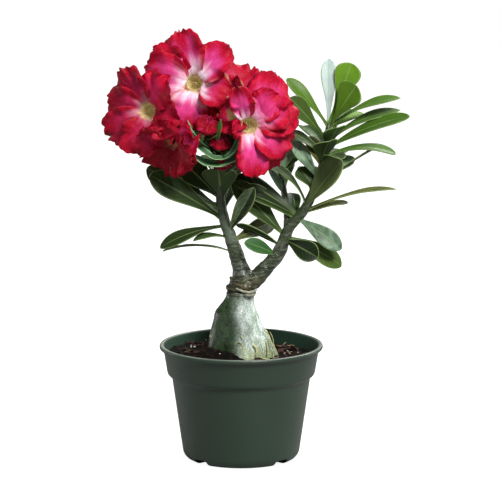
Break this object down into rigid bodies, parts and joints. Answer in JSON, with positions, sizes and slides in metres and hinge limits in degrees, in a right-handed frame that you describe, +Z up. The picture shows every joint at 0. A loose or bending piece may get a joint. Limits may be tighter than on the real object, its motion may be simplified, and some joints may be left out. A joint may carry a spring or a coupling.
{
  "type": "potted desert rose",
  "caption": "Flowering grafted desert rose (adenium): a swollen caudex with a forked, leafy top and a bunch of ruffled blooms, standing in potting mix in a round plastic nursery pot.",
  "frame": {"origin": "centre of the pot's flat underside, on the surface that the pot stands on", "axes": "+Z up, +X to the right and +Y to the back, seen from the side that most of the blooms face"},
  "size_m": [0.2816, 0.152, 0.4056],
  "materials": {
    "pot_plastic": "dark green moulded plastic, satin, with a paler worn rim edge",
    "potting_mix": "dark moist bark and peat mix with reddish chips and white perlite",
    "rootstock_bark": "smooth grey-green succulent skin with a silvery sheen and fine vertical marks",
    "scion_bark": "grey-green to brown bark with leaf scars and a rough graft scar",
    "leaf": "glossy leathery leaves with pale midribs and margins",
    "flower_stalk": "soft green stalks and sepals",
    "petal": "velvety ruffled petals, crimson at the edge, pink inside and near white at the throat",
    "bud_petal": "dark crimson furled petals"
  },
  "bodies": {
    "root": {"pot": "pot_plastic", "potting_mix": "potting_mix", "caudex": "rootstock_bark", "grafted_fork": "scion_bark", "leafy_stem_left": "leaf", "leafy_stem_right": "leaf", "flower_stalks": "flower_stalk", "bloom_top": "petal", "bloom_left": "petal", "bloom_low": "petal", "bloom_right": "petal", "bloom_middle": "petal", "bloom_back": "petal", "bud_left": "bud_petal", "bud_right": "bud_petal", "bud_low": "bud_petal"}
  },
  "joints": []
}
